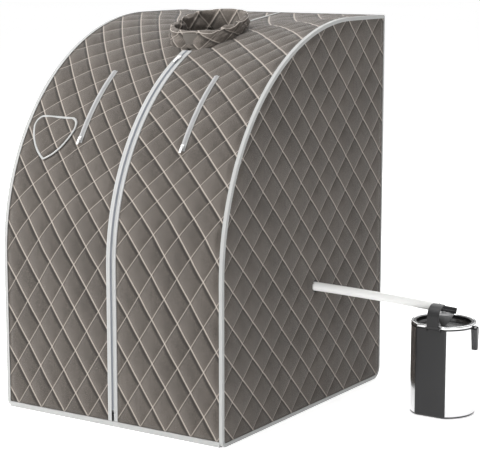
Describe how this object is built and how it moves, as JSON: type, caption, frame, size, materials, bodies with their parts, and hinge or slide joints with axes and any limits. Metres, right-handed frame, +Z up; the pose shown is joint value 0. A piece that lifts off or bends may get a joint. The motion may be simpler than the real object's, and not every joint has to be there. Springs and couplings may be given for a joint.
{
  "type": "portable steam sauna",
  "caption": "Quilted pop-up steam sauna cabin for one seated person with a front zip, a neck collar, arm zips and a pocket, joined by a white hose to a small steel steamer",
  "frame": {"origin": "middle of the cabin's footprint on the floor, under the floor mat", "axes": "+Z up, -Y towards the zipped front, +X towards the steamer, which stands beside the cabin"},
  "size_m": [1.0417, 0.7725, 0.998],
  "materials": {
    "cloth": "quilted, slight sheen",
    "lining": "matt",
    "binding": "woven tape",
    "zip_tape": "woven twill tape",
    "zip_teeth": "moulded coil",
    "zip_metal": "polished",
    "mat": "matt",
    "wire": "black",
    "rod": "satin",
    "socket": "black",
    "hose": "smooth, slight sheen",
    "white_plastic": "smooth",
    "steel": "polished",
    "black_gloss": "gloss",
    "dark_panel": "satin",
    "rubber": "matt",
    "heater": "cast",
    "board": "solder mask",
    "brass": "plated",
    "riser": "satin"
  },
  "bodies": {
    "tent": {"side_panel_left": "cloth", "side_panel_right": "cloth", "port_grommet": "rubber", "back_panel": "cloth", "floor_mat": "mat", "front_sill": "binding", "side_binding_left": "binding", "side_binding_right": "binding", "rear_top_binding": "binding", "neck_collar": "cloth", "arch_panel_left": "cloth", "arch_panel_right": "cloth", "roof_seam_binding": "binding", "arch_zip_tape_left": "zip_tape", "arch_zip_tape_right": "zip_tape", "arch_zip_coil": "zip_teeth", "arm_zip_tapes": "zip_tape", "arm_zip_coils": "zip_teeth", "pocket_patch": "cloth", "pocket_binding": "binding", "hoop_sleeves": "lining", "hoops": "wire", "spreader_rods": "rod", "rod_sockets": "socket", "steam_hose": "hose", "steam_diffuser": "white_plastic", "steamer_feet": "rubber", "steamer_base": "black_gloss", "control_board": "board", "board_screws": "zip_metal", "steamer_shell": "steel", "power_inlet": "black_gloss", "inlet_pins": "brass", "water_tank": "steel", "heating_plate": "heater", "thermal_cutout": "black_gloss", "rim_gasket": "rubber", "rim_ring": "steel", "inner_bezel": "black_gloss", "lid_seal": "rubber", "steamer_lid": "black_gloss", "steam_riser": "riser", "outlet_barrel": "black_gloss", "steamer_front_panel": "dark_panel", "latch_pin": "zip_metal", "side_grip": "black_gloss"},
    "door_left": {"door_panel_left": "cloth", "door_zip_tape_left": "zip_tape", "door_zip_coil_left": "zip_teeth"},
    "door_right": {"door_panel_right": "cloth", "door_zip_tape_right": "zip_tape", "door_zip_coil_right": "zip_teeth"},
    "zip_slider": {"zip_slider": "zip_metal"},
    "zip_pull": {"zip_pull": "zip_metal"},
    "arm_slider_left": {"arm_slider_left": "zip_metal"},
    "arm_pull_left": {"arm_pull_left": "zip_metal"},
    "arm_slider_right": {"arm_slider_right": "zip_metal"},
    "arm_pull_right": {"arm_pull_right": "zip_metal"},
    "collar_tab": {"collar_tab": "cloth"},
    "lid_latch": {"lid_latch": "dark_panel"}
  },
  "joints": [
    {"name": "door_left_swing", "type": "hinge", "parent": "tent", "child": "door_left", "pos_m": [-0.321, -0.384, 0.2], "axis": [0, 0, -1], "range_deg": [0, 95]},
    {"name": "door_right_swing", "type": "hinge", "parent": "tent", "child": "door_right", "pos_m": [0.321, -0.384, 0.2], "axis": [0, 0, 1], "range_deg": [0, 95]},
    {"name": "zip_travel", "type": "hinge", "parent": "tent", "child": "zip_slider", "pos_m": [0.008, 0.178, 0.39], "axis": [1, 0, 0], "range_deg": [0, 56]},
    {"name": "zip_pull_swing", "type": "hinge", "parent": "zip_slider", "child": "zip_pull", "pos_m": [0.008, -0.09766, 0.88731], "axis": [-1, 0, 0], "range_deg": [0, 150]},
    {"name": "arm_zip_travel_left", "type": "hinge", "parent": "tent", "child": "arm_slider_left", "pos_m": [-0.147, 0.18928, 0.39009], "axis": [-1, 0, 0], "range_deg": [0, 20]},
    {"name": "arm_pull_swing_left", "type": "hinge", "parent": "arm_slider_left", "child": "arm_pull_left", "pos_m": [-0.147, -0.30556, 0.69332], "axis": [-1, 0, 0], "range_deg": [0, 150]},
    {"name": "arm_zip_travel_right", "type": "hinge", "parent": "tent", "child": "arm_slider_right", "pos_m": [0.163, 0.18993, 0.39009], "axis": [-1, 0, 0], "range_deg": [0, 20]},
    {"name": "arm_pull_swing_right", "type": "hinge", "parent": "arm_slider_right", "child": "arm_pull_right", "pos_m": [0.163, -0.30547, 0.69365], "axis": [-1, 0, 0], "range_deg": [0, 150]},
    {"name": "collar_tab_swing", "type": "hinge", "parent": "tent", "child": "collar_tab", "pos_m": [0.03515, -0.05324, 0.94748], "axis": [0, -0.2672, 0.9636], "range_deg": [0, 100]},
    {"name": "lid_latch_swing", "type": "hinge", "parent": "tent", "child": "lid_latch", "pos_m": [0.626, 0.10688, 0.229], "axis": [1, 0, 0], "range_deg": [0, 80]}
  ]
}
